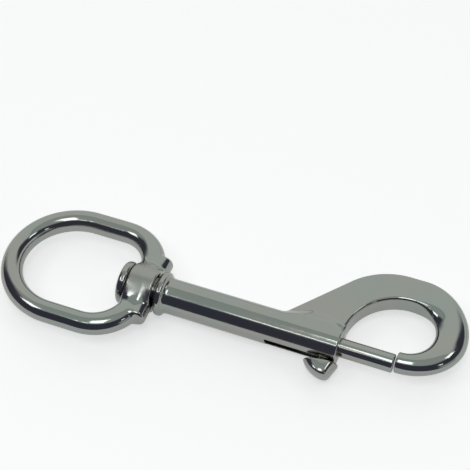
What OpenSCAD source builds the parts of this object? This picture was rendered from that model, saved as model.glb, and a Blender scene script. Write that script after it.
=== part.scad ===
// Swivel bolt snap hook: a cast hook body whose peened stem carries a swivelling eye, and a
// sprung bolt, drawn back by a thumb knob in a slot, that closes the hook.
// Inside the modules X runs along the barrel's axis with 0 at the barrel's mouth, +X towards the
// nose of the hook and +Y towards its arm. place() then stands the part on the ground plane.

/* [Barrel] */
// Outer diameter of the barrel
barrel_d = 9.2; // [7.8:0.1:11]
// Length of the barrel, from its flange to its mouth
barrel_l = 46.6; // [40:0.1:52]
// Diameter of the flange that the swivel collar runs against
flange_d = 10.7; // [10:0.1:13]
// Thickness of the flange
flange_t = 1.4; // [1:0.1:4]

/* [Swivel stem] */
// Diameter of the stem that the swivel collar turns on
stem_d = 6.6; // [5:0.1:7.4]
// Diameter of the peened head that holds the collar on
head_d = 11.4; // [9:0.1:12]
// Thickness of the peened head
head_t = 3; // [1.4:0.1:3.5]
// Width of the open groove between the collar and the flange
groove_w = 1.1; // [0.6:0.1:2.5]

/* [Swivel eye] */
// Diameter of the round bar that the eye is made of
bar_d = 5.5; // [4:0.1:6.5]
// Clear width between the eye's two sides
eye_clear_w = 25.9; // [22:0.1:32]
// Length of the straight stretch of each side
eye_side_l = 9.3; // [4:0.1:16]
// Radius of each shoulder, where a side turns in to the collar
shoulder_r = 11; // [10:0.1:12.5]
// Outer diameter of the collar
collar_d = 11.3; // [10:0.1:13]
// Length of the collar
collar_l = 7.1; // [6.5:0.1:10]
// Distance from the collar's back face to the line on which the eye's sides enter it
arm_entry = 3.7; // [3:0.1:4.5]
// Diameter of the lug on each side of the collar
lug_d = 4.8; // [3:0.1:6]
// Distance from the axis to the outer end of a lug
lug_reach = 10; // [9:0.1:13]

/* [Hook arm] */
// Height of the hook's opening above the barrel's axis
throat_h = 18.4; // [16:0.1:24]
// Length of the hook's opening, from the barrel's mouth to the inside of the nose
throat_l = 21.3; // [20:0.1:26]
// Distance of the crown, the arm's highest point, from the barrel's mouth
crown_x = 13.3; // [11:0.1:14.5]
// Height at which the nose stands farthest forward
nose_y = 10.8; // [9:0.1:13]
// Width of the arm at the crown
crown_w = 8; // [6:0.1:10]
// Width of the arm at the nose
nose_w = 8.2; // [6:0.1:10]
// Distance of the tip's end from the crown, towards the nose
tip_offset = 1; // [0.6:0.1:1.8]
// Diameter of the arm's round tip
tip_d = 5.3; // [4.2:0.1:5.6]
// Height of the tip's centre above the barrel's axis
tip_rise = 0.7; // [0:0.05:1]
// Thickness of the flat part of the arm
arm_t = 5.2; // [3.6:0.1:6]
// Radius on the long edges of the flat part of the arm
arm_edge_r = 0.8; // [0.5:0.1:1.6]
// Angle at which the arm's back edge rises from the barrel
arm_slope = 50.5; // [42:0.5:58]
// Radius of the bend in the arm's back edge below the crown
back_bend_r = 18.2; // [15:0.1:20]
// Radius of the fillet where the back edge leaves the barrel
root_fillet_r = 4; // [2:0.1:6]

/* [Bolt and knob] */
// Diameter of the sliding bolt
bolt_d = 4.8; // [4:0.1:5.2]
// Length of the bolt
bolt_l = 24.4; // [22:0.1:28]
// Gap between the closed bolt and the tip of the arm
gate_gap = 0.3; // [0.2:0.1:1.6]
// Distance that the bolt draws back
bolt_travel = 13.8; // [10:0.1:14]
// Diameter of the neck that joins the knob to the bolt
neck_d = 3.1; // [2:0.1:3.4]
// Length of the knob's oval rim, along the barrel
knob_l = 8.6; // [7:0.1:10]
// Width of the knob's oval rim, across the barrel
knob_w = 7.2; // [6:0.1:8]
// Height of the knob, from its rim to its top
knob_h = 4.2; // [3:0.1:6]
// Distance that the knob's rim stands clear of the barrel
knob_lift = 0.55; // [0.5:0.05:1.2]
// Angle at which the knob leans towards the mouth
knob_lean = 8; // [0:1:10]
// Angle at which the slot and the knob lie below the barrel's side
slot_turn = 20; // [0:1:22]
// Width of the rim left between the slot and the mouth
slot_rim = 1.2; // [0.8:0.1:2.5]

/* [Spring] */
// Diameter of the spring's wire
wire_d = 0.6; // [0.4:0.05:0.7]
// Number of turns of the spring
spring_turns = 13; // [9:1:16]
// Wall left in the barrel between the spring and the flange
bore_end_wall = 3; // [2:0.1:6]

/* [Clearances] */
// Radial clearance of the bolt in its bore and of the stem in the collar
running_gap = 0.08; // [0.02:0.01:0.1]
// Clearance at the knob's neck, on each side and at each end of the slot
slot_gap = 0.12; // [0.08:0.01:0.2]
// Axial play of the collar under the peened head
head_gap = 0.15; // [0.1:0.01:0.3]
// Radial clearance of the spring in the bore
spring_gap = 0.2; // [0.1:0.05:0.4]

/* [Hidden] */
$fn = 64;

barrel_r = barrel_d / 2;
bar_r = bar_d / 2;
bolt_r = bolt_d / 2;
tip_r = tip_d / 2;
neck_r = neck_d / 2;
bore_r = bolt_r + running_gap;
lug_r = lug_d / 2;

// Places along the axis, from the flange back to the eye's far end.
flange_back = -barrel_l - flange_t;
collar_front = flange_back - groove_w;
collar_back = collar_front - collar_l;
lug_overhang = groove_w * 0.6;
head_front = collar_back - head_gap;
head_back = head_front - head_t;
lug_x = collar_front - lug_r + lug_overhang;
arm_entry_x = collar_back + arm_entry;
eye_r = eye_clear_w / 2 + bar_r;
shoulder_x = arm_entry_x - shoulder_r;
root_flare = arm_entry - bar_r;
eye_x = shoulder_x - eye_side_l;
eye_back = eye_x - eye_r - bar_r;

// Places of the tip, the bolt, the knob's neck and the slot.
tip_x = crown_x + tip_offset;
bolt_front = tip_x - gate_gap;
bolt_back = bolt_front - bolt_l;
knob_setback = 0.45;
slot_front = -slot_rim;
neck_x = slot_front - slot_gap - neck_r;
slot_back = neck_x - neck_r - bolt_travel - slot_gap;
bore_back = -barrel_l + bore_end_wall;
knob_x = neck_x - knob_setback;
knob_base = barrel_r + knob_lift;

// Edge treatments.
rim_steps = 4;
edge_r = 0.6;
head_edge_r = 0.8;
head_crown_r = 16;
head_lip = 0.3;
mouth_edge = 0.4;
bolt_chamfer = 0.5;
knob_rim_t = 0.4;
crest_shift = 1.3;
crest_power = 3;
dome_power = 2.2;
web_t = lug_d * 0.8;
web_inset = 0.5;
web_root = [2.2, 4];
root_slim = 0.05;
flange_lip = 0.3;
flange_fillet_l = 1;
tip_edge = 0.4;
corner_slack = 0.01;
lug_edge_r = 0.8;

// The arm's two edges, from the barrel round the nose to the tip. They have the same number of
// points, and each pair of points is one cross-section of the arm.
crown_y = throat_h + crown_w;
nose_x = throat_l + nose_w;
crown_lead = 1.4;
bend_lag = 2.6;
root_sink = 0.7;
outer_crown_x = crown_x + crown_lead;
bend_x = crown_x - bend_lag;
root_y = barrel_r - root_sink;
bend_y = crown_y - back_bend_r;
root_steps = 3;
bend_steps = 10;
nose_steps = 10;
tip_steps = 11;
edge_steps = root_steps + bend_steps + 1;
tip_bend_x = tip_x + tip_edge;

function arc(cx, cy, rx, ry, from, to, steps) =
    [for (i = [0:steps]) let (a = from + (to - from) * i / steps) [cx + rx * cos(a), cy + ry * sin(a)]];

// The back edge's straight stretch touches the bend at the arm's slope. The fillet touches both that
// stretch and the level line at root_y, so its centre stands one radius from each.
bend_start = [bend_x - back_bend_r * sin(arm_slope), bend_y + back_bend_r * cos(arm_slope)];
root_rise = bend_start[1] - root_y;
root_corner_x = bend_start[0] - root_rise / tan(arm_slope);
root_x = root_corner_x - root_fillet_r * tan(arm_slope / 2);

inner_edge = concat(
    arc(crown_x, root_y, crown_x, throat_h - root_y, 180, 90, edge_steps),
    arc(crown_x, nose_y, throat_l - crown_x, throat_h - nose_y, 90 - 90 / nose_steps, 0, nose_steps - 1),
    arc(tip_bend_x, nose_y, throat_l - tip_bend_x, nose_y - tip_rise - tip_r,
        -90 / tip_steps, -90, tip_steps - 1));
outer_edge = concat(
    arc(root_x, root_y + root_fillet_r, root_fillet_r, root_fillet_r, -90, arm_slope - 90, root_steps),
    arc(bend_x, bend_y, back_bend_r, back_bend_r, 90 + arm_slope, 90, bend_steps),
    arc(outer_crown_x, nose_y, nose_x - outer_crown_x, crown_y - nose_y,
        90 - 90 / nose_steps, 0, nose_steps - 1),
    arc(tip_bend_x, nose_y, nose_x - tip_bend_x, nose_y - tip_rise + tip_r,
        -90 / tip_steps, -90, tip_steps - 1));

// The flat arm turns into an oval and then a round bar: its corners start to grow at the crown, and
// meet a little past the nose.
round_steps = nose_steps + 3;
function arm_round(i) =
    let (s = min(1, max(0, (i - edge_steps) / round_steps))) s * s * (3 - 2 * s);
function arm_thickness(i) = arm_t + (tip_d - arm_t) * arm_round(i);
function corner(half, i) = arm_edge_r + (half - corner_slack - arm_edge_r) * arm_round(i);

// A rectangle w by t whose corners are quarter ellipses rx by ry, as points round its middle.
corner_steps = 5;
function rounded_section(w, t, rx, ry) =
    [for (q = [0:3]) for (i = [0:corner_steps])
        let (a = 90 * q + 90 * i / corner_steps,
             sx = (q == 0 || q == 3) ? 1 : -1,
             sy = (q < 2) ? 1 : -1)
        [sx * (w / 2 - rx) + rx * cos(a), sy * (t / 2 - ry) + ry * sin(a)]];

// A skin over rings that have the same number of points each, closed flat at both ends.
module loft(rings) {
    n = len(rings[0]);
    last = len(rings) - 1;
    sides = [for (i = [0:last - 1]) for (j = [0:n - 1])
        [i * n + j, i * n + (j + 1) % n, (i + 1) * n + (j + 1) % n, (i + 1) * n + j]];
    ends = [[for (j = [n - 1:-1:0]) j], [for (j = [0:n - 1]) last * n + j]];
    polyhedron([for (ring = rings) each ring], concat(sides, ends), convexity = 6);
}

// Turns a profile of [radius, place along the axis] about the barrel's axis.
module turned() {
    rotate([0, 90, 0]) rotate_extrude() children();
}

// Rounded rim of a disc from x0 to x1, as profile points.
function rim(r, x0, x1, rim_r) = concat(
    arc(r - rim_r, x0 + rim_r, rim_r, rim_r, -90, 0, rim_steps),
    arc(r - rim_r, x1 - rim_r, rim_r, rim_r, 0, 90, rim_steps));

module along_x(r, x0, x1) {
    translate([x0, 0, 0]) rotate([0, 90, 0]) cylinder(r = r, h = x1 - x0);
}

// Stands what is built on the ground plane on the barrel's axis instead, pointing out of the slot.
module outwards() {
    rotate([90 + slot_turn, 0, 0]) children();
}

// Barrel, flange, stem and peened head, turned as one.
module barrel_blank() {
    // The head's crown is a shallow arc that runs into its rounded edge at this angle.
    crown_angle = asin((head_d / 2 - head_edge_r) / (head_crown_r - head_edge_r));
    crown_centre = head_back + head_crown_r;
    // The flange runs down to the barrel like the mouth of a bell.
    flange_r = flange_d / 2;
    flange_front_r = flange_r - flange_lip;
    turned() polygon(concat(
        arc(0, crown_centre, head_crown_r, head_crown_r,
            -90, crown_angle * (1 - 1 / rim_steps) - 90, rim_steps - 1),
        arc(head_d / 2 - head_edge_r, crown_centre - (head_crown_r - head_edge_r) * cos(crown_angle),
            head_edge_r, head_edge_r, crown_angle - 90, 0, rim_steps),
        [[head_d / 2, head_front - head_lip], [head_d / 2 - head_lip, head_front]],
        [[stem_d / 2, head_front], [stem_d / 2, flange_back]],
        arc(flange_r - edge_r, flange_back + edge_r, edge_r, edge_r, -90, 0, rim_steps),
        arc(flange_front_r, -barrel_l - flange_lip, flange_lip, flange_lip, 0, 90, rim_steps),
        arc(flange_front_r, -barrel_l + flange_fillet_l, flange_front_r - barrel_r, flange_fillet_l,
            -90 - 90 / rim_steps, -180, rim_steps - 1),
        arc(barrel_r - mouth_edge, -mouth_edge, mouth_edge, mouth_edge, 0, 90, rim_steps),
        [[0, 0]]));
}

module arm() {
    sections = [for (i = [0:len(inner_edge) - 1])
        let (p = outer_edge[i], q = inner_edge[i], w = norm(q - p), u = (q - p) / w, mid = (p + q) / 2,
             t = arm_thickness(i))
        [for (s = rounded_section(w, t, corner(w / 2, i), corner(t / 2, i)))
            [mid[0] + u[0] * s[0], mid[1] + u[1] * s[0], s[1]]]];
    // The rounded end of the tip: the last section again, each time nearer the end and smaller.
    last = sections[len(sections) - 1];
    tip_end = [for (a = [45, 90])
        let (x = tip_x + tip_edge * (1 - sin(a)), scale = 1 - tip_edge * (1 - cos(a)) / tip_r)
        [for (p = last) [x, tip_rise + (p[1] - tip_rise) * scale, p[2] * scale]]];
    loft(concat(sections, tip_end));
}

module hook_body() {
    color("lightslategray") place() difference() {
        union() {
            barrel_blank();
            arm();
        }
        along_x(bore_r, bore_back, 1);
        outwards() translate([slot_back, -neck_r - slot_gap, 0])
            cube([slot_front - slot_back, neck_d + 2 * slot_gap, barrel_r + 1]);
    }
}

// One side of the eye: the straight stretch and the shoulder. A second, slightly slimmer shoulder
// nearer the eye widens the root until it is flush with the collar's back face.
module eye_side() {
    translate([0, eye_r, 0]) along_x(bar_r, eye_x, shoulder_x);
    shoulder(shoulder_x, bar_r);
    shoulder(shoulder_x - root_flare, bar_r - root_slim);
}

module shoulder(x, r) {
    translate([x, eye_r - shoulder_r, 0])
        rotate_extrude(angle = 90) translate([shoulder_r, 0]) circle(r);
}

// The bar across the collar that ends in the two lugs, with a web from each lug to its shoulder.
module lugs() {
    translate([lug_x, 0, 0]) rotate([90, 0, 0]) rotate_extrude()
        polygon(concat([[0, -lug_reach]], rim(lug_r, -lug_reach, lug_reach, lug_edge_r), [[0, lug_reach]]));
    web = [[arm_entry_x - web_root[0], eye_r - shoulder_r + web_root[1]],
           [lug_x - web_inset, lug_reach - web_inset],
           [lug_x + lug_r - web_inset, lug_reach - lug_r]];
    translate([0, 0, -web_t / 2]) linear_extrude(web_t)
        polygon(concat(web, [for (i = [len(web) - 1:-1:0]) [web[i][0], -web[i][1]]]));
}

module swivel_eye() {
    color("silver") place() difference() {
        union() {
            translate([eye_x, 0, 0]) rotate(90)
                rotate_extrude(angle = 180) translate([eye_r, 0]) circle(bar_r);
            eye_side();
            mirror([0, 1, 0]) eye_side();
            lugs();
            turned() polygon(concat(
                [[0, collar_back]],
                rim(collar_d / 2, collar_back, collar_front, edge_r),
                [[0, collar_front]]));
        }
        along_x(stem_d / 2 + running_gap, collar_back - 2 * bar_r, collar_front + 2 * lug_r);
    }
}

module bolt() {
    color("gainsboro") place() difference() {
        turned() polygon([[0, bolt_back], [bolt_r, bolt_back], [bolt_r, bolt_front - bolt_chamfer],
                          [bolt_r - bolt_chamfer, bolt_front], [0, bolt_front]]);
        outwards() translate([neck_x, 0, 0]) cylinder(r = neck_r, h = bolt_r + 1);
    }
}

// A mushroom stud on a neck that is pressed into the bolt through the slot. Its dome rises over an
// oval rim as a parabola does, and its crest is set forward.
module thumb_knob() {
    dome_steps = 9;
    rim_sides = 40;
    cap = [for (i = [-1:dome_steps - 1])
        let (size = min(1, 1 - i / dome_steps),
             rise = i < 0 ? 0 : knob_rim_t + (knob_h - knob_rim_t) * (1 - pow(size, dome_power)),
             x = crest_shift * pow(rise / knob_h, crest_power))
        [for (j = [0:rim_sides - 1])
            let (a = -360 * j / rim_sides)
            [x + knob_l / 2 * size * cos(a), knob_w / 2 * size * sin(a), rise]]];
    color("lightgray") place() outwards() {
        translate([neck_x, 0, 0]) cylinder(r = neck_r, h = knob_base + 2 * knob_rim_t);
        translate([knob_x, 0, knob_base]) rotate([0, knob_lean, 0]) loft(cap);
    }
}

module bolt_spring() {
    coil_r = bore_r - spring_gap - wire_d / 2;
    start = bore_back + wire_d / 2;
    pitch = (bolt_back - bore_back - wire_d) / spring_turns;
    turn_steps = 14;
    wire_sides = 6;
    color("dimgray") place()
        loft([for (i = [0:spring_turns * turn_steps])
            let (a = 360 * i / turn_steps)
            [for (j = [0:wire_sides - 1])
                let (b = -360 * j / wire_sides, r = coil_r + wire_d / 2 * cos(b))
                [start + pitch * i / turn_steps + wire_d / 2 * sin(b), r * cos(a), r * sin(a)]]]);
}

// Centres the part over the origin, with the lowest of the round pieces on the ground plane.
module place() {
    translate([-(eye_back + nose_x) / 2, -(crown_y - eye_r - bar_r) / 2,
               max(collar_d, flange_d, head_d) / 2])
        children();
}

hook_body();
swivel_eye();
bolt();
thumb_knob();
bolt_spring();
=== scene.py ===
"""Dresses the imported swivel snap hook: a nickel-plated casting, its eye, bolt, knob and spring.

Lengths in the property groups are metres. Inside the shape functions they are millimetres, in the
hook's own axes: X runs along the barrel with 0 at its mouth, +X towards the nose, +Y towards the
arm, and Z out of the plane of the hook. place() moves the finished points into the frame.
"""

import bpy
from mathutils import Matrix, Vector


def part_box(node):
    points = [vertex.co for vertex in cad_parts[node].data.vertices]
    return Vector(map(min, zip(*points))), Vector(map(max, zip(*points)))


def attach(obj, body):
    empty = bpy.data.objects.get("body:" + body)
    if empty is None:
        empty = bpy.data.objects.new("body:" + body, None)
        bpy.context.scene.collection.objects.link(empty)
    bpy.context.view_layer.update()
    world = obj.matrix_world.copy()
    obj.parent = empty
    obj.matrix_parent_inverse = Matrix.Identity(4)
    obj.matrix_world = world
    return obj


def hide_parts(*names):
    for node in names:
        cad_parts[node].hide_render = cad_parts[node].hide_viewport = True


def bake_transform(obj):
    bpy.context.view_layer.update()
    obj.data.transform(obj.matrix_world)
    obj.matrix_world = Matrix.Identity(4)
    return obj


bl_info = {
    "name": "Swivel Snap Hook",
    "version": (1, 0, 0),
    "blender": (4, 5, 0),
    "location": "View3D > Sidebar > Snap Hook",
    "description": "Builds the surfaces and finishes of a bolt snap hook with a swivel eye",
    "category": "Object",
}

import math
from types import SimpleNamespace

import bmesh
import bpy
import numpy as np
from bpy.props import FloatProperty, FloatVectorProperty, IntProperty, PointerProperty
from mathutils import Matrix, Vector

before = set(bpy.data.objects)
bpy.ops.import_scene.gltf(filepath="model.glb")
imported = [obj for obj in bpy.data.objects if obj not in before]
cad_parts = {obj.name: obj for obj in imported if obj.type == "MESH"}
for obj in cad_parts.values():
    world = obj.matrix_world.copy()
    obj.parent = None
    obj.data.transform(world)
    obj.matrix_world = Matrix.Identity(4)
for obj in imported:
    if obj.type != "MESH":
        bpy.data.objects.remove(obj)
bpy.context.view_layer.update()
MM = 1000.0  # millimetres in a metre


def node_box(name):
    """Lowest and highest corner of a frame node, in millimetres."""
    low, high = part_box(name)
    return np.array(low) * MM, np.array(high) * MM


BODY_LOW, BODY_HIGH = node_box("hook_body")
EYE_LOW, EYE_HIGH = node_box("swivel_eye")
BOLT_LOW, BOLT_HIGH = node_box("bolt")
SPRING_LOW, SPRING_HIGH = node_box("bolt_spring")
# The barrel's axis, on which the bolt lies
AXIS_Y = (BOLT_LOW[1] + BOLT_HIGH[1]) / 2
AXIS_Z = (BOLT_LOW[2] + BOLT_HIGH[2]) / 2


# ---------------------------------------------------------------------------------------------
# Sizes and colours that a user would change


def length(name, description, default):
    """A length property, in metres."""
    return FloatProperty(name=name, description=description, default=default,
                         unit="LENGTH", precision=5)


def angle(name, description, degrees):
    """An angle property, whose default is given in degrees."""
    return FloatProperty(name=name, description=description, default=math.radians(degrees),
                         subtype="ANGLE")


def number(name, description, default):
    """A property without a unit."""
    return FloatProperty(name=name, description=description, default=default, unit="NONE")


def colour(name, description, default):
    """A colour property, in linear light."""
    return FloatVectorProperty(name=name, description=description, default=default,
                               subtype="COLOR", size=3)


class CastingSizes(bpy.types.PropertyGroup):
    """Sizes of the hook casting"""
    barrel_d: length("Barrel diameter", "Outer diameter of the barrel", 0.0092)
    barrel_l: length("Barrel length", "From the flange to the mouth", 0.0466)
    mouth_edge: length("Mouth edge", "Rounding of the barrel's mouth", 0.0004)
    flange_d: length("Flange diameter", "Rim that the swivel collar runs against", 0.0113)
    flange_t: length("Flange thickness", "Thickness of the rim", 0.0014)
    flange_flare: length("Flange flare", "Bell that runs from the rim down to the barrel", 0.0017)
    stem_d: length("Stem diameter", "Stem that the collar turns on", 0.0066)
    head_d: length("Head diameter", "Peened head of the stem", 0.0114)
    head_t: length("Head thickness", "Peened head of the stem", 0.003)
    head_crown_r: length("Head crown radius", "Shallow dome of the head", 0.016)
    head_edge_r: length("Head edge radius", "Rounding of the head's rim", 0.0008)
    bore_d: length("Bore diameter", "Blind bore that the bolt slides in", 0.00496)
    bore_end_wall: length("Bore end wall", "Metal left between the bore and the flange", 0.003)
    throat_h: length("Throat height", "Height of the opening above the axis", 0.0184)
    throat_l: length("Throat length", "From the mouth to the inside of the nose", 0.0213)
    crown_x: length("Crown place", "Crown of the arm, from the mouth", 0.0133)
    crown_w: length("Crown width", "Width of the arm at its crown", 0.008)
    crown_lead: length("Crown lead", "Outer crown, forward of the inner one", 0.0014)
    nose_w: length("Nose width", "Width of the arm at its nose", 0.0082)
    nose_y: length("Nose height", "Height at which the nose stands farthest forward", 0.0108)
    tip_offset: length("Tip offset", "End of the arm, forward of the crown", 0.001)
    tip_d: length("Tip diameter", "Round end of the arm", 0.0053)
    tip_rise: length("Tip rise", "Centre of the tip above the axis", 0.0007)
    tip_edge: length("Tip edge", "Rounding of the arm's end", 0.0004)
    arm_t: length("Arm thickness", "Thickness of the flat arm", 0.0052)
    arm_edge_r: length("Arm edge radius", "Rounding along the flat arm's inner edge", 0.0008)
    arm_back_w: length("Arm back width", "Rounding of its outer edge, across the arm", 0.0022)
    arm_back_t: length("Arm back depth", "The same, through its thickness", 0.0013)
    arm_slope: angle("Arm slope", "Rise of the arm's back edge", 50.5)
    round_turn: angle("Round turn", "Turn past the crown in which the arm becomes round", 62)
    back_bend_r: length("Back bend radius", "Bend of the back edge below the crown", 0.0182)
    bend_lag: length("Bend lag", "Centre of the back bend, behind the inner crown", 0.0026)
    root_sink: length("Root sink", "Depth of the arm's root in the barrel", 0.0007)
    slot_w: length("Slot width", "Slot that the knob's neck runs in", 0.00334)
    slot_rim: length("Slot rim", "Metal left between the slot and the mouth", 0.0012)
    slot_l: length("Slot length", "Length of the slot", 0.01714)
    slot_turn: angle("Slot turn", "Slot and knob, below the side away from the arm", 20)
    fillet: length("Root fillet", "Softness of the corner between arm and barrel", 0.005)
    back_fillet: length("Back fillet", "The same at the arm's back edge", 0.001)
    cell: length("Mesh cell", "Spacing of the casting's surface points", 0.00026)


class EyeSizes(bpy.types.PropertyGroup):
    """Sizes of the swivel eye"""
    bar_d: length("Bar diameter", "Round bar of the eye", 0.0055)
    shoulder_r: length("Shoulder radius", "Turn of each side in to the collar", 0.011)
    side_l: length("Side length", "Straight stretch of each side", 0.0093)
    arm_entry: length("Arm entry", "From the collar's back face to the sides' entry", 0.0037)
    collar_d: length("Collar diameter", "Outer diameter of the collar", 0.0113)
    collar_l: length("Collar length", "Length of the collar", 0.0071)
    collar_edge_r: length("Collar edge radius", "Rounding of the collar's rims", 0.0006)
    collar_bore: length("Collar bore", "Bore that turns on the stem", 0.00676)
    groove_w: length("Groove width", "Gap between the collar and the flange", 0.0011)
    lug_d: length("Lug diameter", "Lug at each side of the collar", 0.0052)
    lug_reach: length("Lug reach", "From the axis to the end of a lug", 0.01)
    lug_edge_r: length("Lug edge radius", "Rounding of a lug's end", 0.0008)
    lug_overhang: length("Lug overhang", "Lug, forward of the collar's front face", 0.00066)
    dimple_r: length("Dimple radius", "Small ball mark in the middle of a lug's end", 0.0005)
    fillet: length("Casting fillet", "Softness of the corners between cast forms", 0.003)
    front_fillet: length("Front fillet", "The same at the lugs and the collar's front", 0.0011)
    cell: length("Mesh cell", "Spacing of the casting's surface points", 0.00022)


class GateSizes(bpy.types.PropertyGroup):
    """Sizes of the bolt, the knob and the spring"""
    chamfer: length("Bolt chamfer", "Bevel at the bolt's end", 0.0005)
    neck_d: length("Neck diameter", "Neck between bolt and knob", 0.0031)
    neck_back: length("Neck place", "Centre of the neck, back from the barrel's mouth", 0.00287)
    knob_l: length("Knob length", "Rim of the knob along the barrel", 0.0086)
    knob_w: length("Knob width", "Rim of the knob across the barrel", 0.0072)
    knob_h: length("Knob height", "From the rim to the crest", 0.0042)
    knob_rim_t: length("Knob rim thickness", "Upright edge below the dome", 0.0004)
    knob_lift: length("Knob lift", "Underside of the knob above the barrel", 0.00055)
    knob_setback: length("Knob setback", "Middle of the knob, behind its neck", 0.00045)
    knob_lean: angle("Knob lean", "Lean of the knob towards the nose", 8)
    knob_flank: number("Knob flank", "Steepness of the knob's flanks", 4.0)
    knob_level: number("Knob level", "Rise of the cap for each unit of its height", 0.25)
    knob_square: number("Knob squareness", "1 is oval, lower is squarer", 0.78)
    crest_shift: length("Crest shift", "Crest of the dome, forward of its rim", 0.0013)
    wire_d: length("Wire diameter", "Wire of the spring", 0.0006)
    turns: IntProperty(name="Spring turns", description="Number of coils", default=13,
                       min=4, max=30)


class FinishColours(bpy.types.PropertyGroup):
    """Colours and gloss of the metals"""
    nickel: colour("Nickel", "Colour of the bright plating", (0.41, 0.42, 0.40))
    steel: colour("Steel", "Colour of the drawn spring wire", (0.20, 0.20, 0.20))
    gloss: number("Roughness", "Roughness of the polished plating", 0.09)
    satin: number("Satin", "Added roughness of the turned collar", 0.16)


class StageSettings(bpy.types.PropertyGroup):
    """Camera, floor, room and lamps"""
    azimuth: angle("Azimuth", "Camera round the object", 20.78)
    elevation: angle("Elevation", "Camera above the ground", 49.5)
    distance: length("Distance", "Camera from the point it looks at", 0.345)
    aim: FloatVectorProperty(
        name="Aim", description="Point that the camera looks at, from the barrel's mouth",
        subtype="XYZ", unit="LENGTH", size=3, default=(-0.032574, 0.0127585, 0.015301))
    half_view: angle("Half view", "Half of the camera's angle of view", 9.6641855)
    floor: colour("Floor", "Colour of the floor", (0.8, 0.8, 0.8))
    wall: colour("Wall", "Colour of the lit walls and ceiling behind the hook", (0.68, 0.72, 0.69))
    ceiling: colour("Ceiling", "Colour of the ceiling overhead and in front", (0.45, 0.50, 0.48))
    room: colour("Room", "Colour of the unlit room in front", (0.06, 0.06, 0.085))
    skirting: colour("Skirting", "Colour of the dark band at the wall's foot", (0.17, 0.10, 0.09))
    lamp_glow: number("Lamp glow", "Brightness of the lamps, where 1 is white", 2.4)


# ---------------------------------------------------------------------------------------------
# Shape functions: signed distances in millimetres, negative inside

TINY = 1e-9  # keeps a division away from 0


def soft_min(a, b, k):
    """The lower of a and b, rounded off by a parabola where they differ by less than k."""
    h = np.maximum(k - np.abs(a - b), 0.0) / k
    return np.minimum(a, b) - h * h * k / 4


def soft_max(a, b, k):
    """The higher of a and b, rounded off by a parabola where they differ by less than k."""
    return -soft_min(-a, -b, k)


def smooth_step(t):
    """0 below 0, 1 above 1, and the cubic 3t^2 - 2t^3 between."""
    t = np.clip(t, 0.0, 1.0)
    return t * t * (3 - 2 * t)


def rounded_corner(a, b, r):
    """Joins two slabs of signed depth a and b into one solid whose common edge is an arc of
    radius r."""
    qa, qb = a + r, b + r
    return np.minimum(np.maximum(qa, qb), 0) + np.hypot(np.maximum(qa, 0), np.maximum(qb, 0)) - r


def disc(x, radius, x0, x1, size, edge):
    """A cylinder about the X axis from x0 to x1, with its rims rounded to edge."""
    return rounded_corner(radius - size, np.abs(x - (x0 + x1) / 2) - (x1 - x0) / 2, edge)


def ellipse(px, py, rx, ry):
    """Distance to an ellipse about 0, to first order: k(k-1)/|grad k|, with k the scaled
    radius."""
    k = np.hypot(px / rx, py / ry) + TINY
    return k * (k - 1) / (np.hypot(px / rx ** 2, py / ry ** 2) + TINY)


def oval_corner(a, b, ra, rb):
    """Joins two slabs of signed depth a and b into one solid whose common edge is a quarter of an
    ellipse with half axes ra and rb."""
    qa, qb = a + ra, b + rb
    edge = ellipse(np.maximum(qa, 0), np.maximum(qb, 0), ra, rb)
    return np.where((qa > 0) & (qb > 0), edge, np.maximum(a, b))


def outwards(y, z, turn):
    """Distances out of the slot and across it, for a slot that is turned below the -Y side."""
    return -y * math.cos(turn) - z * math.sin(turn), z * math.cos(turn) - y * math.sin(turn)


def net_surface(field, low, high, cell):
    """Meshes field = 0 in a box: one vertex in each grid cell that the surface crosses, at the
    mean of the crossings on the cell's edges, and one quad round each crossed grid edge. Each
    vertex is then moved along the gradient onto the surface. Returns points, quads and unit
    normals."""
    axes = [np.arange(low[i] - 2 * cell, high[i] + 3 * cell, cell) for i in range(3)]
    grid = field(*np.meshgrid(*axes, indexing="ij", sparse=True))
    inside = grid < 0
    shape = np.array(grid.shape) - 1
    total = np.zeros((*shape, 3))
    count = np.zeros(shape)
    edges = []
    for axis in range(3):
        a = [slice(None)] * 3
        b = [slice(None)] * 3
        a[axis], b[axis] = slice(None, -1), slice(1, None)
        fa, fb = grid[tuple(a)], grid[tuple(b)]
        crossed = inside[tuple(a)] != inside[tuple(b)]
        part = np.where(crossed, fa / np.where(crossed, fa - fb, 1.0), 0.0)
        others = [i for i in range(3) if i != axis]
        for da in (0, 1):
            for db in (0, 1):
                pick = [slice(None)] * 3
                pick[others[0]] = slice(da, da + shape[others[0]])
                pick[others[1]] = slice(db, db + shape[others[1]])
                hit = crossed[tuple(pick)]
                count += hit
                total[..., axis] += part[tuple(pick)]
                total[..., others[0]] += hit * da
                total[..., others[1]] += hit * db
        edges.append((axis, others, np.argwhere(crossed), inside[tuple(a)]))
    index = np.full(shape, -1)
    cells = np.argwhere(count > 0)
    index[tuple(cells.T)] = np.arange(len(cells))
    points = cells + total[tuple(cells.T)] / count[tuple(cells.T)][:, None]
    points = np.array([axis[0] for axis in axes]) + points * cell
    quads = []
    for axis, (u, v), where, within in edges:
        ring = []
        for du, dv in ((-1, -1), (0, -1), (0, 0), (-1, 0)):
            at = where.copy()
            at[:, u] += du
            at[:, v] += dv
            ring.append(index[tuple(at.T)])
        ring = np.stack(ring, 1)
        flip = within[tuple(where.T)] == (axis == 1)
        ring[flip] = ring[flip, ::-1]
        quads.append(ring)
    points, normals = settle(field, points, cell)
    return np.clip(points, low, high), np.concatenate(quads), normals


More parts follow.
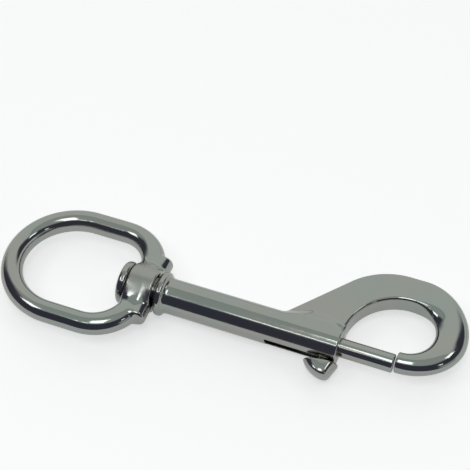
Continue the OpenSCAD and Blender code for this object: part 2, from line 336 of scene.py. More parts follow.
def settle(field, points, cell):
    """Moves points onto field = 0 by three Newton steps along its gradient, and returns them with
    the unit gradient there. The gradient is the central difference of the field."""
    step, least_slope = 0.02, 1e-6
    for last in (False, False, False, True):
        slope = np.empty_like(points)
        for axis in range(3):
            shift = np.zeros(3)
            shift[axis] = step
            slope[:, axis] = (field(*(points + shift).T) - field(*(points - shift).T)) / (2 * step)
        size = np.maximum(np.linalg.norm(slope, axis=1), least_slope)
        if not last:
            move = np.clip(field(*points.T) / size, -cell / 2, cell / 2)
            points = points - slope * (move / size)[:, None]
    return points, slope / size[:, None]


def sweep(rings):
    """Points of a skin over rings given as an array (ring, point round it, 3), and its quads."""
    n, m = rings.shape[:2]
    i, j = np.meshgrid(np.arange(n - 1), np.arange(m), indexing="ij")
    k = (j + 1) % m
    quads = np.stack([i * m + j, i * m + k, (i + 1) * m + k, (i + 1) * m + j], -1).reshape(-1, 4)
    return rings.reshape(-1, 3), quads


def turned(profile, steps=96):
    """Turns a profile of (place along X, radius) points about the X axis. A radius of 0 at both
    ends closes the skin in a point."""
    angle = np.linspace(0, 2 * np.pi, steps, endpoint=False)
    x, r = np.asarray(profile, float).T
    rings = np.stack([np.broadcast_to(x[:, None], (len(x), steps)), r[:, None] * np.cos(angle),
                      r[:, None] * np.sin(angle)], -1)
    return sweep(rings)


def arc(cx, cy, r, start, end, steps=8):
    """Points on a circular arc, with its angles in degrees."""
    a = np.radians(np.linspace(start, end, steps + 1))
    return list(zip(cx + r * np.cos(a), cy + r * np.sin(a)))


# ---------------------------------------------------------------------------------------------
# Meshes and materials

OBJECT_PLACE = 3  # output of Texture Coordinate that gives the place on the object


def properties_of(group):
    """The properties of a group that a user sets, by name."""
    return {name: prop for name, prop in group.bl_rna.properties.items()
            if name not in ("rna_type", "name")}


def in_mm(group):
    """A copy of a property group's single values, with its lengths in millimetres."""
    return SimpleNamespace(**{
        name: getattr(group, name) * (MM if prop.unit == "LENGTH" else 1)
        for name, prop in properties_of(group).items() if not prop.is_array})


def barrel_radius():
    """Radius of the barrel."""
    return bpy.context.scene.casting_sizes.barrel_d * MM / 2


def mouth_x():
    """Place of the barrel's mouth in the frame: one throat and one nose width back from the
    nose."""
    s = bpy.context.scene.casting_sizes
    return BODY_HIGH[0] - (s.throat_l + s.nose_w) * MM


def casting_offset():
    """The barrel's mouth in the frame, in millimetres."""
    return np.array([mouth_x(), AXIS_Y, AXIS_Z])


def place(points):
    """Moves points from the hook's own axes, in millimetres, into the frame, in metres."""
    return (np.asarray(points) + casting_offset()) / MM


def new_piece(name, points, quads, body, slot, node, material, normals=None):
    """Makes a mesh object from points in the hook's axes and quads, and ties it to the frame. A
    piece that rides on two bodies is given none here, and is left untied."""
    mesh = bpy.data.meshes.new(name)
    mesh.from_pydata(place(points).tolist(), [], quads.tolist())
    mesh.validate()
    mesh.polygons.foreach_set("use_smooth", np.ones(len(mesh.polygons), bool))
    if normals is not None:
        mesh.normals_split_custom_set_from_vertices(normals.tolist())
    mesh.materials.append(material)
    piece = bpy.data.objects.new(name, mesh)
    bpy.context.scene.collection.objects.link(piece)
    if body:
        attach(piece, body)
    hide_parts(node)
    return piece


def merge_doubles(piece, distance=1e-6):
    """Welds the points that meet at poles and seams, and points the faces outwards."""
    bm = bmesh.new()
    bm.from_mesh(piece.data)
    bmesh.ops.remove_doubles(bm, verts=bm.verts, dist=distance)
    bmesh.ops.recalc_face_normals(bm, faces=bm.faces)
    bm.to_mesh(piece.data)
    bm.free()


class Socket:
    """A shader socket. Arithmetic on it in Python makes Math nodes."""

    def __init__(self, tree, source):
        self.tree, self.source = tree, source

    def math(self, operation, *others, swap=False):
        """A Math node on this socket and others, in reverse order where swap is set."""
        operands = [self, *others]
        if swap:
            operands.reverse()
        return self.tree.node("ShaderNodeMath", {"operation": operation}, *operands)

    def __add__(self, other):
        return self.math("ADD", other)

    __radd__ = __add__

    def __sub__(self, other):
        return self.math("SUBTRACT", other)

    def __rsub__(self, other):
        return self.math("SUBTRACT", other, swap=True)

    def __mul__(self, other):
        return self.math("MULTIPLY", other)

    __rmul__ = __mul__

    def __pow__(self, other):
        return self.math("POWER", other)

    def ramp(self, low, high):
        """0 at low, 1 at high, smooth between."""
        return self.tree.node("ShaderNodeMapRange", {"interpolation_type": "SMOOTHSTEP"},
                              self, float(low), float(high), 0.0, 1.0)


class Tree:
    """Builds the nodes of one material or world."""

    def __init__(self, owner):
        owner.use_nodes = True
        self.nodes, self.links = owner.node_tree.nodes, owner.node_tree.links
        self.nodes.clear()

    def node(self, kind, settings=None, *inputs, out=0, **named):
        """A node of this type, with its settings made first, then its inputs by place or by
        name."""
        made = self.nodes.new(kind)
        for key, value in (settings or {}).items():
            setattr(made, key, value)
        for key, value in [*enumerate(inputs), *named.items()]:
            socket = made.inputs[key if isinstance(key, int) else key.replace("_", " ")]
            if isinstance(value, Socket):
                self.links.new(value.source, socket)
            elif value is not None:
                socket.default_value = value
        return Socket(self, made.outputs[out]) if made.outputs else None

    def split(self, vector):
        """The three parts of a vector."""
        made = self.node("ShaderNodeSeparateXYZ", None, vector)
        return [Socket(self, part) for part in made.source.node.outputs]

    def mix(self, factor, a, b):
        """Colour a where factor is 0 and b where it is 1."""
        made = self.nodes.new("ShaderNodeMix")
        made.data_type = "RGBA"
        factor_in, a_in, b_in = (made.inputs[i] for i in (0, 6, 7))  # those of a colour mix
        for socket, value in ((factor_in, factor), (a_in, a), (b_in, b)):
            if isinstance(value, Socket):
                self.links.new(value.source, socket)
            elif isinstance(value, (int, float)):
                socket.default_value = value
            else:
                socket.default_value = (*value[:3], 1.0)
        return Socket(self, made.outputs[2])

    def noise(self, spot, scale, detail):
        """Cloudy noise from 0 to 1, with about scale clouds to the metre."""
        return self.node("ShaderNodeTexNoise", None, Vector=spot, Scale=scale, Detail=detail)


def nickel(name, satin_front=None, bump=0.25):
    """Bright nickel plate over a polished casting: cloudy in tint and gloss, with faint waves.
    Where satin_front is given, the turned collar whose front face is there is duller."""
    colours, eye = bpy.context.scene.finish_colours, in_mm(bpy.context.scene.eye_sizes)
    material = bpy.data.materials.new(name)
    tree = Tree(material)
    spot = tree.node("ShaderNodeTexCoord", out=OBJECT_PLACE)
    haze = tree.noise(spot, scale=90.0, detail=3.0)
    fine = tree.noise(spot, scale=900.0, detail=2.0)
    waves = tree.noise(spot, scale=260.0, detail=1.0)
    base = np.array(colours.nickel)
    cool, warm = tuple(base * (0.96, 1.0, 0.99)), tuple(base * (1.03, 0.99, 0.98))
    tint = tree.mix(haze.ramp(0.35, 0.65), cool, warm)
    uneven, wave_height = 0.04, 0.00012
    rough = colours.gloss + haze.ramp(0.4, 0.7) * uneven + fine.ramp(0.55, 0.8) * uneven
    if satin_front is not None:
        x, y, z = tree.split(spot)
        along = x * MM - mouth_x() - satin_front
        radius = ((y - AXIS_Y / MM) ** 2.0 + (z - AXIS_Z / MM) ** 2.0) ** 0.5 * MM
        edge, front_edge, skin = 0.1, 0.5, 1.0
        satin = along.ramp(-eye.collar_l - edge, -eye.collar_l + edge)
        satin = satin * (1 - along.ramp(-front_edge, 0.0))
        satin = satin * (1 - radius.ramp(eye.collar_d / 2 + edge, eye.collar_d / 2 + skin))
        rough = rough + satin * colours.satin
    relief = tree.node("ShaderNodeBump", None, bump, wave_height, Height=waves * 0.7 + fine * 0.1)
    surface = tree.node("ShaderNodeBsdfPrincipled", None, Base_Color=tint, Metallic=1.0,
                        Roughness=rough, Normal=relief)
    tree.node("ShaderNodeOutputMaterial", None, surface)
    return material


def spring_steel(name):
    """Drawn spring wire: darker and duller than the plating, with fine draw marks."""
    colours = bpy.context.scene.finish_colours
    material = bpy.data.materials.new(name)
    tree = Tree(material)
    marks = tree.noise(tree.node("ShaderNodeTexCoord", out=OBJECT_PLACE), scale=1500.0, detail=3.0)
    base = np.array(colours.steel)
    dark, light = tuple(base * 0.7), tuple(base * 1.3)
    rough, uneven = 0.25, 0.2
    tint = tree.mix(marks, dark, light)
    surface = tree.node("ShaderNodeBsdfPrincipled", None, Base_Color=tint, Metallic=1.0,
                        Roughness=rough + marks * uneven)
    tree.node("ShaderNodeOutputMaterial", None, surface)
    return material


# ---------------------------------------------------------------------------------------------
# The castings. Small roundings and overlaps, in millimetres

OVERLAP = 1.0  # how far a form runs on inside the next one
RIM_EDGE = 0.4  # rounding of the flange's rim
STEM_EDGE, STEM_CORNER = 0.2, 0.4  # rounding of the stem's ends, its corner with the flange
HEAD_CORNER = 0.3  # softness of the corner between stem and head
BORE_EDGE = 0.3  # rounding at the bore's end
CUT_EDGE = 0.25  # softness of the edges that the bore and the slot leave
PAST_MOUTH = 3.0  # how far the bore's cut runs on beyond the mouth
SLOT_START = 1.0  # distance from the axis at which the slot's cut starts
LEAST_WIDTH = 0.2  # least width of the arm's section
TIP_SHARE = 0.75  # share of the crown's distance past which the arm's low part is its tip side
ROOT_END, ROOT_EDGE = 0.5, 0.3  # height above the axis where the arm's root ends, and its rounding
ROOT_DEPTH = 5.0  # depth below the arm's back at which the corner at its root is softest
ROOT_RISE = 3.4  # height above the axis at which that corner is softest
MOUTH_LEAD, MOUTH_FADE = 1.0, 5.0  # it fades over 5 towards the mouth, and is gone 1 beyond it
FLARE_DROP, FLARE_CORNER = 0.05, 0.4  # second bar behind each shoulder: how much thinner, corner
DIMPLE_CLEAR = 0.6  # centre of the dimple's ball off the lug's end, as a share of its radius
DIMPLE_EDGE = 0.2  # softness of the dimple's edge
FRONT_FADE = 3.0  # length over which the collar's corners sharpen towards its front face
COLLAR_EDGE = 0.3  # softness of the edge of the collar's bore


def casting_field(s):
    """Signed distance to the hook casting, as a function of x, y and z."""
    barrel_r, flange_r, stem_r, head_r = s.barrel_d / 2, s.flange_d / 2, s.stem_d / 2, s.head_d / 2
    flange_back = -s.barrel_l - s.flange_t
    head_back = BODY_LOW[0] - mouth_x()
    head_front = head_back + s.head_t
    tip_x, tip_r = s.crown_x + s.tip_offset, s.tip_d / 2
    tip_bend_x = tip_x + s.tip_edge
    tip_top, tip_bottom = s.tip_rise + tip_r, s.tip_rise - tip_r
    crown_y, nose_x = s.throat_h + s.crown_w, s.throat_l + s.nose_w
    outer_crown_x, bend_x = s.crown_x + s.crown_lead, s.crown_x - s.bend_lag
    bend_y = crown_y - s.back_bend_r
    root_y = barrel_r - s.root_sink
    sin_a, cos_a = math.sin(s.arm_slope), math.cos(s.arm_slope)

    def outer_edge(x, y, tip_side):
        """Depth below the arm's outer edge: the back's slope, its bend, a level stretch, the
        nose's quarter ellipse and the lower quarter ellipse down to the tip."""
        px, py = x - bend_x, y - bend_y
        slope = -px * sin_a + py * cos_a - s.back_bend_r
        bend = np.hypot(px, py) - s.back_bend_r
        edge = np.where(px * cos_a + py * sin_a < 0, slope, bend)
        edge = np.where(x > bend_x, y - crown_y, edge)
        edge = np.where(x > outer_crown_x,
                        ellipse(x - outer_crown_x, y - s.nose_y,
                                nose_x - outer_crown_x, crown_y - s.nose_y), edge)
        lower = np.where(x < tip_bend_x, tip_bottom - y, ellipse(
            x - tip_bend_x, y - s.nose_y, nose_x - tip_bend_x, s.nose_y - tip_bottom))
        return np.where(tip_side, lower, edge)

    def inner_edge(x, y, tip_side):
        """Depth below the arm's inner edge: a quarter ellipse up from the barrel, one from the
        crown to the nose, and one from there down to the tip."""
        edge = np.where(x < s.crown_x,
                        ellipse(x - s.crown_x, y - root_y, s.crown_x, s.throat_h - root_y),
                        ellipse(x - s.crown_x, y - s.nose_y,
                                s.throat_l - s.crown_x, s.throat_h - s.nose_y))
        edge = np.where(y < root_y, x + 0 * y, -edge)
        lower = np.where(x < tip_bend_x, y - tip_top, -ellipse(
            x - tip_bend_x, y - s.nose_y, s.throat_l - tip_bend_x, s.nose_y - tip_top))
        return np.where(tip_side, lower, edge)

    def arm(x, y, z):
        """The arm: the depths below its two edges give its width at each place, and its section is
        a rectangle of that width and the arm's thickness. Its corners are quarter ellipses, which
        grow past the crown until the arm is an oval and then a round bar. The second result is the
        softness of its root, which is least along the arm's back, on the barrel's own side and at
        its mouth."""
        tip_side = (y < s.nose_y) & (x > TIP_SHARE * s.crown_x)
        outer, inner = outer_edge(x, y, tip_side), inner_edge(x, y, tip_side)
        turn = math.pi / 2 - np.arctan2(y - s.nose_y, x - (s.crown_x + outer_crown_x) / 2)
        grown = smooth_step(turn / s.round_turn) * ((x > s.crown_x) | tip_side)
        half_t = (s.arm_t + (s.tip_d - s.arm_t) * grown) / 2
        half_w = np.maximum(-(outer + inner), LEAST_WIDTH) / 2
        edge_w = np.where(outer > inner, s.arm_back_w, s.arm_edge_r)
        edge_t = np.where(outer > inner, s.arm_back_t, s.arm_edge_r)
        corner_w = np.minimum(edge_w + (half_w - edge_w) * grown, half_w)
        corner_t = edge_t + (half_t - edge_t) * grown
        solid = oval_corner(np.abs(outer - inner) / 2 - half_w, np.abs(z) - half_t,
                            corner_w, corner_t)
        end = rounded_corner(solid, tip_x - x + 0 * solid, s.tip_edge)
        root = soft_max(solid, ROOT_END - y + 0 * solid, ROOT_EDGE)
        softness = smooth_step(-outer / ROOT_DEPTH) * smooth_step(y / ROOT_RISE)
        softness = softness * smooth_step((MOUTH_LEAD - x) / MOUTH_FADE) + 0 * solid
        return np.where(tip_side, end, root), s.back_fillet + (s.fillet - s.back_fillet) * softness

    def field(x, y, z):
        radius = np.hypot(y, z)
        barrel = disc(x, radius, -s.barrel_l - OVERLAP, 0.0, barrel_r, s.mouth_edge)
        flange = disc(x, radius, flange_back, -s.barrel_l, flange_r, RIM_EDGE)
        body = soft_min(barrel, flange, s.flange_flare)
        stem = disc(x, radius, head_front - OVERLAP, flange_back + OVERLAP, stem_r, STEM_EDGE)
        body = soft_min(body, stem, STEM_CORNER)
        head = disc(x, radius, head_back, head_front, head_r, s.head_edge_r)
        dome = np.hypot(x - (head_back + s.head_crown_r), radius) - s.head_crown_r
        body = soft_min(body, soft_max(head, dome, s.head_edge_r), HEAD_CORNER)
        body = soft_min(body, *arm(x, y, z))
        bore = disc(x, radius, -s.barrel_l + s.bore_end_wall, PAST_MOUTH, s.bore_d / 2, BORE_EDGE)
        body = soft_max(body, -bore, CUT_EDGE)
        out, across = outwards(y, z, s.slot_turn)
        slot = np.maximum(np.abs(across) - s.slot_w / 2,
                          np.abs(x + s.slot_rim + s.slot_l / 2) - s.slot_l / 2)
        return soft_max(body, -np.maximum(slot, SLOT_START - out), CUT_EDGE)

    return field


def eye_field(s, casting):
    """Signed distance to the swivel eye, as a function of x, y and z."""
    bar_r, collar_r, lug_r = s.bar_d / 2, s.collar_d / 2, s.lug_d / 2
    collar_front = -casting.barrel_l - casting.flange_t - s.groove_w
    collar_back = collar_front - s.collar_l
    lug_x = collar_front - lug_r + s.lug_overhang
    entry_x = collar_back + s.arm_entry
    shoulder_x = entry_x - s.shoulder_r
    flare_x = shoulder_x - (s.arm_entry - bar_r)
    eye_x = shoulder_x - s.side_l
    eye_r = (EYE_HIGH[1] - EYE_LOW[1]) / 2 - bar_r
    shoulder_y = eye_r - s.shoulder_r

    def bar(x, side, z, turn_x):
        """A round bar along the ring's line: half a circle, a straight stretch, the shoulder's
        quarter circle about turn_x, and a last stretch straight in to the axis."""
        bend = np.abs(np.hypot(x - eye_x, side) - eye_r)
        straight = np.abs(side - eye_r) + 0 * x
        shoulder = np.abs(np.hypot(x - turn_x, side - shoulder_y) - s.shoulder_r)
        entry = np.abs(x - turn_x - s.shoulder_r) + 0 * side
        line = np.where(x < eye_x, bend, straight)
        line = np.where(x > turn_x, np.where(side > shoulder_y, shoulder, entry), line)
        return np.hypot(line, z) - bar_r

    def field(x, y, z):
        side, radius = np.abs(y), np.hypot(y, z)
        second_bar = bar(x, side, z, flare_x) + FLARE_DROP
        ring = soft_min(bar(x, side, z, shoulder_x), second_bar, FLARE_CORNER)
        lug = rounded_corner(np.hypot(x - lug_x, z) - lug_r, side - s.lug_reach, s.lug_edge_r)
        ball_side = side - s.lug_reach - s.dimple_r * DIMPLE_CLEAR
        dimple = np.sqrt((x - lug_x) ** 2 + ball_side ** 2 + z ** 2) - s.dimple_r
        lug = soft_max(lug, -dimple, DIMPLE_EDGE)
        collar = disc(x, radius, collar_back, collar_front, collar_r, s.collar_edge_r)
        behind_front = smooth_step((collar_front - x) / FRONT_FADE) + 0 * side
        blend = s.front_fillet + (s.fillet - s.front_fillet) * behind_front
        body = soft_min(soft_min(ring, lug, s.front_fillet), collar, blend)
        bore = np.maximum(radius - s.collar_bore / 2, collar_back - bar_r - x)
        return soft_max(body, -bore, COLLAR_EDGE)

    return field


class SNAPHOOK_OT_casting(bpy.types.Operator):
    """Make the hook casting: barrel, flange, stem, peened head, web and arm"""
    bl_idname = "snaphook.casting"
    bl_label = "Hook Casting"

    def execute(self, context):
        s, mouth = in_mm(context.scene.casting_sizes), casting_offset()
        low, high = BODY_LOW - mouth, BODY_HIGH - mouth
        points, quads, normals = net_surface(casting_field(s), low, high, s.cell)
        new_piece("hook_casting", points, quads, "hook", "nickel_plate", "hook_body",
                  nickel("hook_nickel"), normals)
        return {"FINISHED"}


class SNAPHOOK_OT_eye(bpy.types.Operator):
    """Make the swivel eye: ring, shoulders, lugs and collar"""
    bl_idname = "snaphook.eye"
    bl_label = "Swivel Eye"

    def execute(self, context):
        s, casting = in_mm(context.scene.eye_sizes), in_mm(context.scene.casting_sizes)
        mouth = casting_offset()
        low, high = EYE_LOW - mouth, EYE_HIGH - mouth
        points, quads, normals = net_surface(eye_field(s, casting), low, high, s.cell)
        collar_front = -casting.barrel_l - casting.flange_t - s.groove_w
        new_piece("eye_casting", points, quads, "eye", "nickel_plate", "swivel_eye",
                  nickel("eye_nickel", collar_front), normals)
        return {"FINISHED"}


class SNAPHOOK_OT_gate(bpy.types.Operator):
    """Make the sliding bolt and the knob that draws it back"""
    bl_idname = "snaphook.gate"
    bl_label = "Bolt and Knob"

    def execute(self, context):
        s = in_mm(context.scene.gate_sizes)
        turn = context.scene.casting_sizes.slot_turn
        finish = nickel("gate_nickel", bump=0.12)
        for name, skin, node in (("bolt_pin", self.bolt(s), "bolt"),
                                 ("thumb_stud", self.knob(s, turn), "thumb_knob")):
            merge_doubles(new_piece(name, *skin, "gate", "nickel_plate", node, finish))
        return {"FINISHED"}

    def bolt(self, s):
        """A turned pin with a small rounding at the back and a rounded chamfer in front."""
        x0, x1 = BOLT_LOW[0] - mouth_x(), BOLT_HIGH[0] - mouth_x()
        r, c = (BOLT_HIGH[2] - BOLT_LOW[2]) / 2, s.chamfer
        back_edge, first, last, flat = 0.15, x0 + 1, x1 - c - 0.4, r - c * 1.3
        side = [(x, r) for x in np.linspace(first, last, 12)]
        return turned([(x0, 0), (x0, r - back_edge), (x0 + back_edge, r), *side,
                       *arc(x1 - c, r - c, c, 90, 10, 6), (x1, flat), (x1, 0)])

    def knob(self, s, turn):
        """A neck and a cap. Along the barrel the cap narrows over its rim as w does, where the
        rise is 1 - w^dome_power of the height. Across it the flanks stay steep: their share of the
        width is (1 - rise^p)^(1/p). Each section is an ellipse drawn towards its box, and moves
        forward by the cube of its share of the height. The cap leans towards the nose about its
        middle, and is drawn up to lie more level than its neck."""
        round_steps, dome_steps, dome_power, crest_power = 128, 48, 2.2, 3
        a = np.linspace(0, 2 * np.pi, round_steps, endpoint=False)[None, :]
        cos_a, sin_a = (np.sign(f) * np.abs(f) ** s.knob_square for f in (np.cos(a), np.sin(a)))
        w = np.sqrt(np.linspace(1, 0, dome_steps))
        dome = s.knob_rim_t + (s.knob_h - s.knob_rim_t) * (1 - w ** dome_power)
        flank = np.maximum(1 - (dome / s.knob_h) ** s.knob_flank, 0) ** (1 / s.knob_flank)
        underside, soft = 1.0, 0.2
        corner = soft * 0.3
        inset = np.array([underside, soft, corner, 0.0])
        along = np.concatenate([s.knob_l / 2 - inset, s.knob_l / 2 * w])[:, None] * cos_a
        across = np.concatenate([s.knob_w / 2 - inset, s.knob_w / 2 * flank])[:, None] * sin_a
        up = np.concatenate([[0.0, 0.0, corner, soft], dome])[:, None] + 0 * a
        along = along + s.crest_shift * (up / s.knob_h) ** crest_power
        lean_x, lean_y = math.cos(s.knob_lean), math.sin(s.knob_lean)
        along, up = along * lean_x + up * lean_y, up * lean_x - along * lean_y
        base = barrel_radius() + s.knob_lift
        across = across + s.knob_level * up
        cap = np.stack([along - s.neck_back - s.knob_setback, across, up + base], -1)
        neck_r, round_x, round_y = s.neck_d / 2, np.cos(a[0]), np.sin(a[0])
        steps = ((0, 0), (neck_r, 0), (neck_r, base - soft), (neck_r + soft, base + soft))
        neck = [np.stack([r * round_x - s.neck_back, r * round_y, np.full(a.size, float(h))], -1)
                for r, h in steps]
        rings = np.concatenate([np.stack(neck), cap])
        across, out = rings[..., 1], rings[..., 2]
        y = -out * math.cos(turn) - across * math.sin(turn)
        z = across * math.cos(turn) - out * math.sin(turn)
        return sweep(np.stack([rings[..., 0], y, z], -1))


class SNAPHOOK_OT_spring(bpy.types.Operator):
    """Make the coil spring behind the bolt"""
    bl_idname = "snaphook.spring"
    bl_label = "Bolt Spring"

    def execute(self, context):
        """A round wire carried along a helix, whose pitch is one wire thickness in the closed
        turns at each end and even between them."""
        s = in_mm(context.scene.gate_sizes)
        wire_r = s.wire_d / 2
        x0, x1 = SPRING_LOW[0] - mouth_x() + wire_r, SPRING_HIGH[0] - mouth_x() - wire_r
        clearance = 0.05
        coil_r = (SPRING_HIGH[2] - SPRING_LOW[2]) / 2 - wire_r - clearance
        turn_steps, wire_steps, closed_turns = 28, 10, 1.2
        u = np.linspace(0, 1, s.turns * turn_steps + 1)
        closed = closed_turns / s.turns
        lead = np.clip((u - closed) / (1 - 2 * closed), 0, 1)
        along = x0 + s.wire_d * (np.minimum(u, closed) + np.maximum(u - 1 + closed, 0)) * s.turns
        along = along + lead * (x1 - x0 - 2 * s.wire_d * closed * s.turns)
        a = 2 * np.pi * s.turns * u[:, None]
        b = np.linspace(0, -2 * np.pi, wire_steps, endpoint=False)[None, :]
        r = coil_r + wire_r * np.cos(b)
        rings = np.stack([along[:, None] + wire_r * np.sin(b), r * np.cos(a), r * np.sin(a)], -1)
        ends = [np.repeat(rings[i].mean(0)[None, None], wire_steps, 1) for i in (0, -1)]
        skin = sweep(np.concatenate([ends[0], rings, ends[1]]))
        coil = new_piece("bolt_coil", *skin, None, "spring_steel", "bolt_spring",
                         spring_steel("spring_wire"))
        merge_doubles(coil)
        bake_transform(coil)
        return {"FINISHED"}


# ---------------------------------------------------------------------------------------------
# The stage. Directions are in degrees: tilt runs from 0 in front over the top to 180 behind, turn
# goes round the room with 0 in front and + to the right, and rise is the height above the ground.
# A pair is where a change starts and where it ends.

CEILING_END = (104.0, 116.0)  # tilt over which the dimmer ceiling gives way to the lit wall
SEAM, SEAM_HALF, SEAM_DARK = 109.5, 3.5, 0.4  # dark seam between them: tilt, half width, strength
SKIRTING_ENDS, SKIRTING_TOP = (120.0, 135.0), (1.0, 5.0)  # turn to each side, rise
SKIRTING_DARK = 0.6  # strength of the skirting
UNLIT_LEFT, UNLIT_RIGHT = (-124.0, -98.0), (148.0, 166.0)  # turn at the unlit room's two ends
UNLIT_TOP = (47.0, 57.0)  # rise at its top
SCREEN_EDGE, SCREEN_TOP = (56.0, 66.0), (14.0, 22.0)  # low pale screen on the right: turn, rise
FLOOR_HALF = 2.0  # half of the floor's side, in metres
FLOOR_FADE = (-0.066, -0.046)  # Y in metres: what the metal mirrors is unlit before it, lit past it
FLOOR_SEEN, FLOOR_MIRRORED = 0.55, 0.28  # the floor's own glow, seen directly and in the metal
# Lamps by name: centre, width and height, in metres
LAMPS = (
    ("window_lamp", (0.053, -0.232, 0.766), 0.24, 0.35),
    ("left_lamp", (-0.47, -0.265, 0.64), 0.27, 0.20),
    ("front_lamp", (-0.25, -0.40, 0.65), 0.05, 0.06),
    ("sill_lamp", (-0.114, -0.414, 0.67), 0.12, 0.045),
    ("right_lamp", (0.517, 0.185, 0.636), 0.20, 0.11),
    ("door_lamp", (0.689, -0.254, 0.43), 0.09, 0.08),
)


def facing(back, right):
    """Turn of a camera or lamp, from the unit vectors of its back and its right side."""
    return Matrix((right, back.cross(right), back)).transposed().to_4x4()


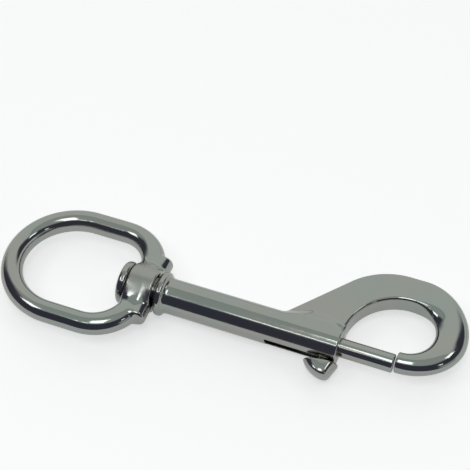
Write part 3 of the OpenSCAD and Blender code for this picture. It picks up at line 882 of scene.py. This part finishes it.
class SNAPHOOK_OT_stage(bpy.types.Operator):
    """Make the camera, the floor and the soft light"""
    bl_idname = "snaphook.stage"
    bl_label = "Stage"

    def execute(self, context):
        s = context.scene.stage_settings
        self.camera(context, s)
        self.floor(s)
        self.light(context, s)
        context.scene.view_settings.view_transform = "Standard"
        return {"FINISHED"}

    def camera(self, context, s):
        """A camera that looks at the aim from the azimuth, elevation and distance that are set."""
        sin_a, cos_a, sin_e, cos_e = (
            f(v) for v in (s.azimuth, s.elevation) for f in (math.sin, math.cos))
        back, right = Vector((sin_a * cos_e, -cos_a * cos_e, sin_e)), Vector((cos_a, sin_a, 0))
        data = bpy.data.cameras.new("camera")
        data.lens = data.sensor_width / 2 / math.tan(s.half_view)
        camera = bpy.data.objects.new("camera", data)
        context.scene.collection.objects.link(camera)
        aim = Vector(s.aim) + Vector(casting_offset()) / MM
        camera.matrix_world = Matrix.Translation(aim + back * s.distance) @ facing(back, right)
        context.scene.camera = camera

    def floor(self, s):
        """A plain pale floor. Seen directly it is white but for the object's shadow; in the metal
        it fades towards the unlit room in front."""
        mesh = bpy.data.meshes.new("floor")
        corners = [(x * FLOOR_HALF, y * FLOOR_HALF, 0)
                   for x, y in ((-1, -1), (1, -1), (1, 1), (-1, 1))]
        mesh.from_pydata(corners, [], [(0, 1, 2, 3)])
        floor = bpy.data.objects.new("floor", mesh)
        bpy.context.scene.collection.objects.link(floor)
        material = bpy.data.materials.new("pale_floor")
        tree = Tree(material)
        path = tree.node("ShaderNodeLightPath").source.node.outputs
        mirrored, through, direct = (Socket(tree, path["Is %s Ray" % kind])
                                     for kind in ("Glossy", "Transmission", "Camera"))
        glossy = mirrored.math("MAXIMUM", through)
        x, y, z = tree.split(tree.node("ShaderNodeTexCoord", out=OBJECT_PLACE))
        near = y.ramp(*FLOOR_FADE)
        matt = tree.node("ShaderNodeBsdfDiffuse", None, (*s.floor, 1))
        unlit = tree.node("ShaderNodeEmission", None, (*s.room, 1), 1.0)
        fade = tree.node("ShaderNodeMixShader", None, glossy * (1 - near), matt, unlit)
        seen = direct * FLOOR_SEEN + glossy * near * FLOOR_MIRRORED
        glow = tree.node("ShaderNodeEmission", None, (1, 1, 1, 1), seen)
        surface = tree.node("ShaderNodeAddShader", None, fade, glow)
        tree.node("ShaderNodeOutputMaterial", None, surface)
        mesh.materials.append(material)

    def light(self, context, s):
        """A soft studio. The wall and the ceiling behind the hook are lit, with a dark skirting at
        the wall's foot and a dark seam before the dimmer ceiling overhead. In front the room is
        unlit, farther round on the right than on the left, but for a low pale screen on the right.
        Seen directly all of it is white."""
        world = bpy.data.worlds.new("studio")
        context.scene.world = world
        tree = Tree(world)
        x, y, z = tree.split(tree.node("ShaderNodeTexCoord"))
        degrees = 180 / math.pi
        tilt = z.math("ARCTAN2", y * -1.0) * degrees
        turn = x.math("ARCTAN2", y * -1.0) * degrees
        rise = z.math("ARCSINE") * degrees
        shade = tree.mix(tilt.ramp(*CEILING_END), tuple(s.ceiling), tuple(s.wall))
        seam = tilt.ramp(SEAM - SEAM_HALF, SEAM) * (1 - tilt.ramp(SEAM, SEAM + SEAM_HALF))
        shade = tree.mix(seam * SEAM_DARK, shade, tuple(s.room))
        low = turn.math("ABSOLUTE").ramp(*SKIRTING_ENDS) * (1 - rise.ramp(*SKIRTING_TOP))
        shade = tree.mix(low * SKIRTING_DARK, shade, tuple(s.skirting))
        right, left = 1 - turn.ramp(*UNLIT_RIGHT), turn.ramp(*UNLIT_LEFT)
        screen = turn.ramp(*SCREEN_EDGE) * (1 - rise.ramp(*SCREEN_TOP))
        unlit = left * right * (1 - screen) * (1 - rise.ramp(*UNLIT_TOP))
        shade = tree.mix(unlit, shade, tuple(s.room))
        camera = tree.node("ShaderNodeLightPath")
        glow = tree.node("ShaderNodeBackground", None, tree.mix(camera, shade, (1, 1, 1)), 1.0)
        tree.node("ShaderNodeOutputWorld", None, glow)
        for name, centre, width, height in LAMPS:
            self.lamp(context, name, Vector(centre), width, height, s.lamp_glow)

    def lamp(self, context, name, centre, width, height, glow):
        """A rectangular lamp that faces the hook. Its power is brightness times area times pi."""
        data = bpy.data.lights.new(name, "AREA")
        data.shape = "RECTANGLE"
        data.size, data.size_y = width, height
        data.energy = glow * width * height * math.pi
        lamp = bpy.data.objects.new(name, data)
        context.scene.collection.objects.link(lamp)
        lamp.visible_camera = False
        back = centre.normalized()
        level = Vector((-back.y, back.x, 0)).normalized()
        lamp.matrix_world = Matrix.Translation(centre) @ facing(back, level)


class SNAPHOOK_PT_panel(bpy.types.Panel):
    """Lists the pieces of the snap hook"""
    bl_label = "Snap Hook"
    bl_idname = "SNAPHOOK_PT_panel"
    bl_space_type = "VIEW_3D"
    bl_region_type = "UI"
    bl_category = "Snap Hook"

    def draw(self, context):
        for operator in OPERATORS:
            self.layout.operator(operator.bl_idname)
        for name in GROUPS:
            box = self.layout.box()
            group = getattr(context.scene, name)
            for prop in properties_of(group):
                box.prop(group, prop)


GROUPS = {
    "casting_sizes": CastingSizes,
    "eye_sizes": EyeSizes,
    "gate_sizes": GateSizes,
    "finish_colours": FinishColours,
    "stage_settings": StageSettings,
}
OPERATORS = [
    SNAPHOOK_OT_stage,
    SNAPHOOK_OT_casting,
    SNAPHOOK_OT_eye,
    SNAPHOOK_OT_gate,
    SNAPHOOK_OT_spring,
]


def register():
    for cls in (*GROUPS.values(), *OPERATORS, SNAPHOOK_PT_panel):
        bpy.utils.register_class(cls)
    for name, cls in GROUPS.items():
        setattr(bpy.types.Scene, name, PointerProperty(type=cls))


def unregister():
    for name in GROUPS:
        delattr(bpy.types.Scene, name)
    for cls in (SNAPHOOK_PT_panel, *reversed(OPERATORS), *reversed(list(GROUPS.values()))):
        bpy.utils.unregister_class(cls)


def main():
    register()
    for operator in OPERATORS:
        group, name = operator.bl_idname.split(".")
        getattr(getattr(bpy.ops, group), name)()


if __name__ == "__main__":
    main()
